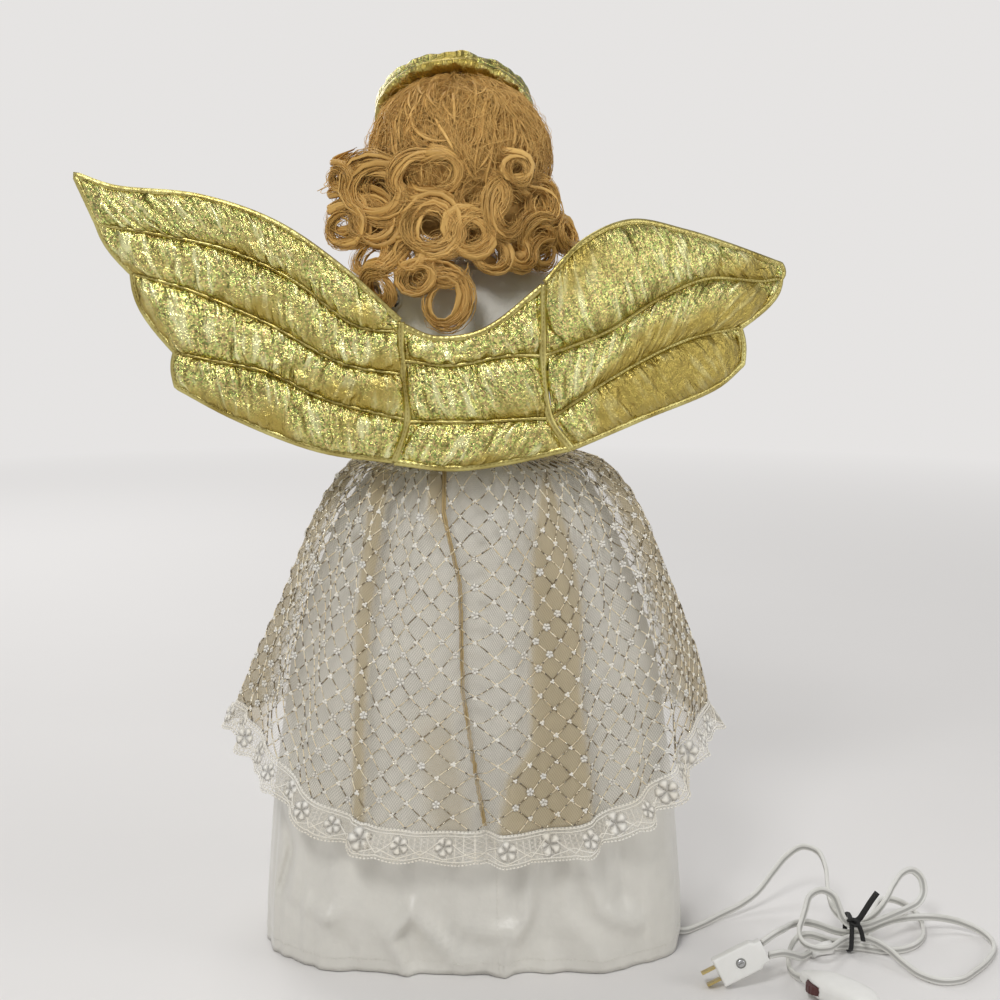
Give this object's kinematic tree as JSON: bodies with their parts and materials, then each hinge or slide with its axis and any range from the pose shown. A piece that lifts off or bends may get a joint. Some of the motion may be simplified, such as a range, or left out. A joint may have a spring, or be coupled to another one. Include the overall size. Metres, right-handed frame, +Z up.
{
  "type": "animated angel figure",
  "caption": "Winged angel table figure with padded halo, curly wig, satin gown and lace overskirt; a crank drive turns its head and swings its arms; mains lead with thumb switch.",
  "frame": {"origin": "centre of the base plate's underside", "axes": "+Z up, the figure faces -Y, its wings are at its back on +Y, +X is its left"},
  "size_m": [0.616, 0.2639, 0.6062],
  "materials": {
    "gold_lame": "metallic gold cloth with a fine iridescent grain",
    "hair": "fine glossy synthetic fibre, light auburn",
    "satin": "glossy ivory satin",
    "lace": "matte ivory net and lace",
    "skin": "matte painted vinyl",
    "white_plastic": "semi-matte moulded",
    "steel": "plated",
    "brass": "plain",
    "board": "pressed board, matte",
    "cord": "semi-gloss PVC",
    "tie": "matte black strip",
    "paper": "coated paper, blank",
    "wheel": "ribbed, dark maroon"
  },
  "bodies": {
    "figure": {"base_plate": "board", "stand_pole": "steel", "hoop_ring": "steel", "hoop_spoke_left": "steel", "hoop_spoke_right": "steel", "hoop_spoke_rear": "steel", "hoop_spoke_front": "steel", "chassis_plate": "steel", "motor_can": "steel", "gearbox_case": "steel", "shoulder_bridge": "steel", "bracket_screw_upper": "steel", "bracket_screw_lower": "steel", "plug_screw": "steel", "hoop_collar": "white_plastic", "torso_front": "white_plastic", "torso_back": "white_plastic", "wing_bracket": "white_plastic", "cord_lug": "white_plastic", "strain_relief": "white_plastic", "switch_case": "white_plastic", "plug_body": "white_plastic", "bodice": "satin", "satin_gown": "satin", "lace_overskirt": "lace", "lace_trim": "lace", "collar_lace": "lace", "neck_bush": "brass", "foot_bush": "brass", "arm_bush_left": "brass", "arm_bush_right": "brass", "plug_blade_wide": "brass", "plug_blade_narrow": "brass", "left_wing": "gold_lame", "right_wing": "gold_lame", "wing_centre_panel": "gold_lame", "back_ringlets": "hair", "power_cord": "cord", "switch_cord": "cord", "motor_wire": "cord", "twist_tie": "tie", "cord_wrap": "paper"},
    "head": {"neck_shaft": "steel", "neck_lever": "brass", "head_shell": "skin", "wig": "hair", "halo": "gold_lame"},
    "arms": {"arm_shaft": "steel", "arm_lever": "brass", "left_arm": "skin", "right_arm": "skin", "left_hand": "skin", "right_hand": "skin", "left_sleeve": "satin", "right_sleeve": "satin"},
    "crank": {"crank": "brass"},
    "neck_link": {"neck_link": "steel"},
    "arm_link": {"arm_link": "steel"},
    "switch_wheel": {"switch_wheel": "wheel"}
  },
  "joints": [
    {"name": "head_turn", "type": "hinge", "parent": "figure", "child": "head", "pos_m": [0, 0, 0.458], "axis": [0, 0, 1], "range_deg": [-25, 25]},
    {"name": "arm_swing", "type": "hinge", "parent": "figure", "child": "arms", "pos_m": [0, 0.014, 0.446], "axis": [1, 0, 0], "range_deg": [-10, 10]},
    {"name": "crank_turn", "type": "hinge", "parent": "figure", "child": "crank", "pos_m": [0.024, -0.014, 0.39], "axis": [0, 0, 1], "continuous": true},
    {"name": "neck_link_pivot", "type": "hinge", "parent": "head", "child": "neck_link", "pos_m": [0, -0.014, 0.399], "axis": [0, 0, 1], "range_deg": [-25, 25]},
    {"name": "arm_link_pivot", "type": "hinge", "parent": "arms", "child": "arm_link", "pos_m": [0.032, 0.014, 0.424], "axis": [1, 0, 0], "range_deg": [-10, 10]},
    {"name": "switch_turn", "type": "hinge", "parent": "figure", "child": "switch_wheel", "pos_m": [-0.22295, 0.12608, 0.0083], "axis": [0, 0, 1], "continuous": true}
  ],
  "couplings": [
    {"joint": "arm_swing", "follows": "head_turn", "ratio": 0.4},
    {"joint": "neck_link_pivot", "follows": "head_turn", "ratio": -1},
    {"joint": "arm_link_pivot", "follows": "head_turn", "ratio": -0.4}
  ]
}
